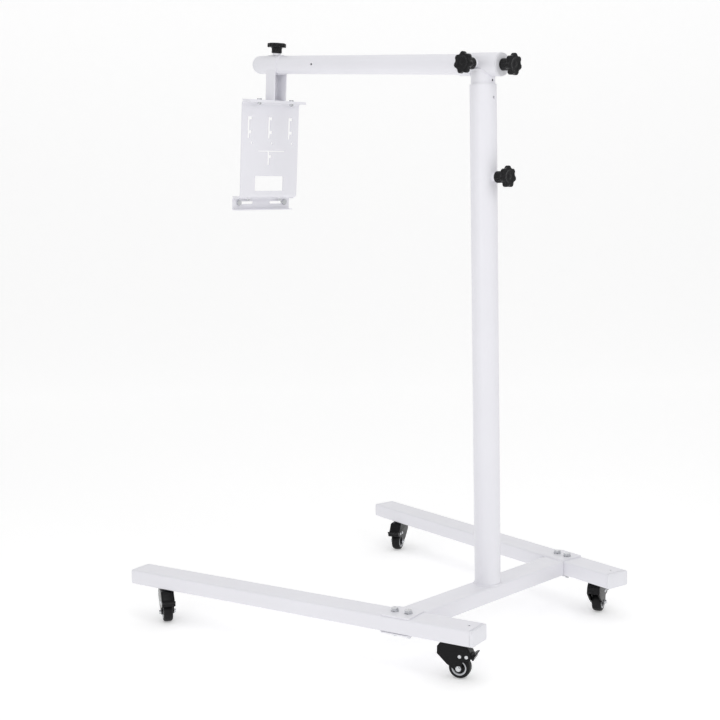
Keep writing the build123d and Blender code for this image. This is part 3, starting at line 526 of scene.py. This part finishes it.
def pins_mesh():
    """Axle bolt with a flanged head and a nut, and domed rivets on both cheeks."""
    parts = [(turned([(2.9, -FORK_HALF - 1), (2.9, FORK_HALF + 1)], 32), at(TRAIL, 0, WHEEL_R) @ SIDEWAYS)]
    for turn in (SIDEWAYS, OTHER_WAY):
        place = at(TRAIL, 0, WHEEL_R) @ turn
        parts.append((turned([(6.4, FORK_HALF), (6.4, FORK_HALF + 0.8), (6.0, FORK_HALF + 1.1)], 40), place))
        parts.append((hex_head(9.6, 3.6, FORK_HALF + 1.1), place))
        for x, z in PINS:
            parts.append((domed(RIVET_R, RIVET_H, FORK_HALF - 0.05), at(x, 0, z) @ turn))
    for x, z in PINS:
        parts.append((turned([(1.9, -FORK_HALF), (1.9, FORK_HALF)], 24), at(x, 0, z) @ SIDEWAYS))
    return join(parts)


def pedal_mesh():
    """Lever between the cheeks and a broad, upturned foot pad."""
    lever = slab(rounded_outline([(38, 57.5), (38, 49.5), (43.5, 46), (52, 48), (58, 47), (58, 58)], 2.0), -13.4, 13.4)
    pad = slab(rounded_outline([(57.5, 46), (61, 46.5), (63.5, 55), (67.4, 60), (66, 61.9), (60.5, 60), (57.5, 58)],
                               1.6), -17, 17)
    return join([(lever, None), (pad, None)])


for corner in CORNERS:
    foot = caster_place(corner)
    wheel = moved(foot, TRAIL, 0, WHEEL_R) @ SIDEWAYS
    add_piece(f"fork_{corner}_folded", fork_mesh(), foot, f"caster_{corner}", "fork_black", [f"fork_{corner}"],
              thickness=2.4, sharp=38)
    add_piece(f"tyre_{corner}_round", tyre_mesh(), wheel, f"wheel_{corner}", "tyre_black", [f"tyre_{corner}"])
    add_piece(f"core_{corner}_dished", core_mesh(), wheel, f"wheel_{corner}", "core_grey", [f"wheel_core_{corner}"])
    add_piece(f"dish_{corner}_black", dish_mesh(), wheel, f"wheel_{corner}", "fork_black")
    add_piece(f"pins_{corner}_headed", pins_mesh(), foot, f"caster_{corner}", "zinc", [f"caster_pins_{corner}"])
    add_piece(f"pedal_{corner}_curved", pedal_mesh(), foot, f"brake_{corner}", "fork_black", [f"pedal_{corner}"],
              bevel=0.7)


# ---------------------------------------------------------------- base
def rounded_rect(width, height, radius, steps=8):
    """Outline of a rounded rectangle about the origin."""
    w, h = width / 2 - radius, height / 2 - radius
    points = []
    for x, z, start in ((w, h, 0), (-w, h, 90), (-w, -h, 180), (w, -h, 270)):
        points += arc(x, z, radius, start, start + 90, steps)
    return points


def cap_mesh(end, out):
    """Plug for a leg's end: outer plate with softened edges and a thin seam against the tube."""
    rings = []
    for inset, depth in ((0.9, 0.0), (0.9, 0.5), (0.1, 0.6), (0.1, 6.0), (0.5, 7.2), (1.4, 7.9), (2.2, CAP_T)):
        rings.append([(x, end + out * depth, RAIL_MID + z)
                      for x, z in rounded_rect(RAIL_W - 2 * inset, RAIL_H - 2 * inset, RAIL_R - inset)])
    return loft(rings)


caps = []
for side_name in SIDES:
    local = leg_place(side_name)
    for end, out in ((LEG_REAR - CAP_T, 1), (LEG_FRONT + CAP_T, -1)):
        caps.append((cap_mesh(end, out), local))
caps_mesh = join(caps)
add_piece("leg_caps_soft", caps_mesh, Matrix.Identity(4), "base", "cap_white", ["leg_caps"])

bolts, washers, nuts = [], [], []
for side_name in SIDES:
    local = leg_place(side_name)
    top = RAIL_TOP / MM + BRACKET_T
    under = RAIL_BOTTOM / MM - BRACKET_T
    shank = [(4.3, under - 14), (4.9, under - 13.2), (4.9, top + WASHER_T)]
    for along in (-LEG_BOLT_PITCH / 2, LEG_BOLT_PITCH / 2):
        bolts.append((hex_head(BOLT_FLATS, BOLT_HEAD, top + WASHER_T), local @ at(0, along)))
        bolts.append((turned(shank, 40), local @ at(0, along)))
        for base in (top, under - WASHER_T):
            rim = [(5.3, base), (9.6, base), (10, base + 0.4), (10, base + WASHER_T - 0.4),
                   (9.6, base + WASHER_T), (5.3, base + WASHER_T)]
            washers.append((turned(rim, 64, loop=True), local @ at(0, along)))
        nuts.append((hex_head(BOLT_FLATS, NUT_HEIGHT),
                     local @ at(0, along, under - WASHER_T) @ Matrix.Rotation(pi, 4, "X")))
add_piece("leg_bolts_headed", join(bolts), Matrix.Identity(4), "base", "zinc", ["leg_bolts"])
add_piece("leg_washers_soft", join(washers), Matrix.Identity(4), "base", "zinc", ["leg_washers"])
add_piece("leg_nuts_chamfered", join(nuts), Matrix.Identity(4), "base", "zinc", ["leg_nuts"])


# ---------------------------------------------------------------- boom cap
cap_profile = [(6.0, 0.0), (CAP_R - 0.6, 0.0), (CAP_R - 0.6, 0.5), (CAP_R, 0.7), (CAP_R, CAP_RIM)]
cap_profile += [(CAP_R * cos(a) ** CAP_FULLNESS, CAP_RIM + CAP_R * sin(a) ** CAP_FULLNESS)
                for a in (pi / 2 * k / 20 for k in range(1, 20))]
add_piece("boom_cap_domed", turned(cap_profile), moved(BOOM, z=CAP_START) @ Matrix.Rotation(pi, 4, "X"),
          "boom", "cap_white", ["boom_cap"])


# ---------------------------------------------------------------- weld beads
def on_tube(tube_r, ring_r, count=200, lift=0.3):
    """Foot of a round part that stands along z on a tube along y."""
    points = []
    for i in range(count):
        angle = 2 * pi * i / count
        x, y = ring_r * cos(angle), ring_r * sin(angle)
        points.append((x, y, sqrt(max(0.0, (tube_r + lift) ** 2 - x ** 2))))
    return points


def weld(name, path, radius, place, body):
    add_piece(name, bead(path, radius), place, body, "powder_white", sharp=60)


weld("column_foot_weld", ring(COLUMN_R + 0.6, 0.4, 220), 2.3, COLUMN, "base")

for side_name, side in SIDES.items():
    inner = -side * (RAIL_W / 2 + BRACKET_T + 0.3)
    outline = [(inner, y, RAIL_MID + z) for y, z in rounded_rect(RAIL_W / cos(SPLAY), RAIL_H, RAIL_R)]
    weld(f"bracket_weld_{side_name}", fine(outline), 2.0, leg_place(side_name), "base")

saddle = [(x, y, -max(z, 13.0)) for x, y, z in on_tube(SLEEVE_R, MAST_R - 0.4)]
weld("mast_weld", saddle, 2.2, HEAD, "mast")


# ---------------------------------------------------------------- finishes on what CAD shows
for part in frame["record"]["subparts"]:
    node = frame["nodes"][part["node"]]
    node.data.materials.clear()
    node.data.materials.append(SLOT_MATERIALS[part["material_slot"]])


# ---------------------------------------------------------------- floor, lights and camera
def stage_sweep():
    """White studio sweep: floor that curves up into a backdrop behind the object."""
    work = bmesh.new()
    profile = [(-7.0, 0.0), (4.0, 0.0)]
    profile += [(4.0 + 2.5 * sin(a), 2.5 - 2.5 * cos(a)) for a in (pi / 2 * k / 16 for k in range(1, 17))]
    profile.append((6.5, 9.0))
    rows = [[work.verts.new((x, y, z)) for y, z in profile] for x in (-9.0, 9.0)]
    for i in range(len(profile) - 1):
        work.faces.new((rows[0][i], rows[1][i], rows[1][i + 1], rows[0][i + 1]))
    mesh = bpy.data.meshes.new("studio_sweep")
    work.to_mesh(mesh)
    work.free()
    for face in mesh.polygons:
        face.use_smooth = True
    sweep = bpy.data.objects.new("studio_sweep", mesh)
    sweep.matrix_world = Matrix.Translation((0, 0, -0.0005)) @ Matrix.Rotation(VIEW_AZIMUTH, 4, "Z")
    bpy.context.scene.collection.objects.link(sweep)
    material, nodes, links, shader = new_material("studio_white")
    shader.inputs["Base Color"].default_value = (0.93, 0.93, 0.93, 1)
    shader.inputs["Roughness"].default_value = 0.9
    shader.inputs["Specular IOR Level"].default_value = 0.1
    shader.inputs["Emission Color"].default_value = (1, 1, 1, 1)
    shader.inputs["Emission Strength"].default_value = 0.25
    mesh.materials.append(material)


VIEW_AZIMUTH = radians(133.72)
VIEW_PITCH = radians(7.44)
VIEW_ROLL = radians(-1.17)
CAMERA_AT = Vector((2.3682, 2.2018, 1.0414))
stage_sweep()

forward = Vector((-sin(VIEW_AZIMUTH) * cos(VIEW_PITCH), cos(VIEW_AZIMUTH) * cos(VIEW_PITCH), -sin(VIEW_PITCH)))
right = forward.cross(Vector((0, 0, 1))).normalized()
up = right.cross(forward)
rolled = right * cos(VIEW_ROLL) + up * sin(VIEW_ROLL)
upright = up * cos(VIEW_ROLL) - right * sin(VIEW_ROLL)
camera_data = bpy.data.cameras.new("camera")
camera_data.sensor_width = 36.0
camera_data.lens = 63.73
camera_data.shift_x = -0.0230
camera_data.shift_y = 0.0189
camera = bpy.data.objects.new("camera", camera_data)
camera.matrix_world = Matrix.Translation(CAMERA_AT) @ Matrix((rolled, upright, -forward)).transposed().to_4x4()
bpy.context.scene.collection.objects.link(camera)
bpy.context.scene.camera = camera


def area_light(name, place, aim, size, watts):
    data = bpy.data.lights.new(name, "AREA")
    data.shape = "RECTANGLE"
    data.size, data.size_y = size
    data.energy = watts
    light = bpy.data.objects.new(name, data)
    turn = (Vector(aim) - Vector(place)).to_track_quat("-Z", "Y")
    light.matrix_world = Matrix.Translation(place) @ turn.to_matrix().to_4x4()
    bpy.context.scene.collection.objects.link(light)


def around(angle, distance, height):
    """Point round the object; the angle is measured from the camera's side, in degrees."""
    turn = radians(angle)
    back = Vector((-forward.x, -forward.y, 0)).normalized()
    side = Vector((0, 0, 1)).cross(back)
    return tuple((back * cos(turn) + side * sin(turn)) * distance + Vector((0, 0, height)))


area_light("overhead", (0.3, 0.3, 3.2), (0, 0, 0.5), (1.6, 1.6), 7.0)
area_light("key", around(40, 2.9, 2.3), (0, 0, 1.1), (0.7, 1.6), 9.0)
area_light("fill", around(-28, 2.9, 1.15), (0, -0.3, 1.25), (0.6, 1.4), 6.5)
area_light("front", around(4, 2.9, 2.0), (0, -0.2, 1.25), (1.0, 1.0), 6.5)

world = bpy.data.worlds.new("studio")
world.use_nodes = True
world.node_tree.nodes["Background"].inputs["Color"].default_value = (1, 1, 1, 1)
world.node_tree.nodes["Background"].inputs["Strength"].default_value = 0.66
bpy.context.scene.world = world
bpy.context.scene.view_settings.view_transform = "Standard"
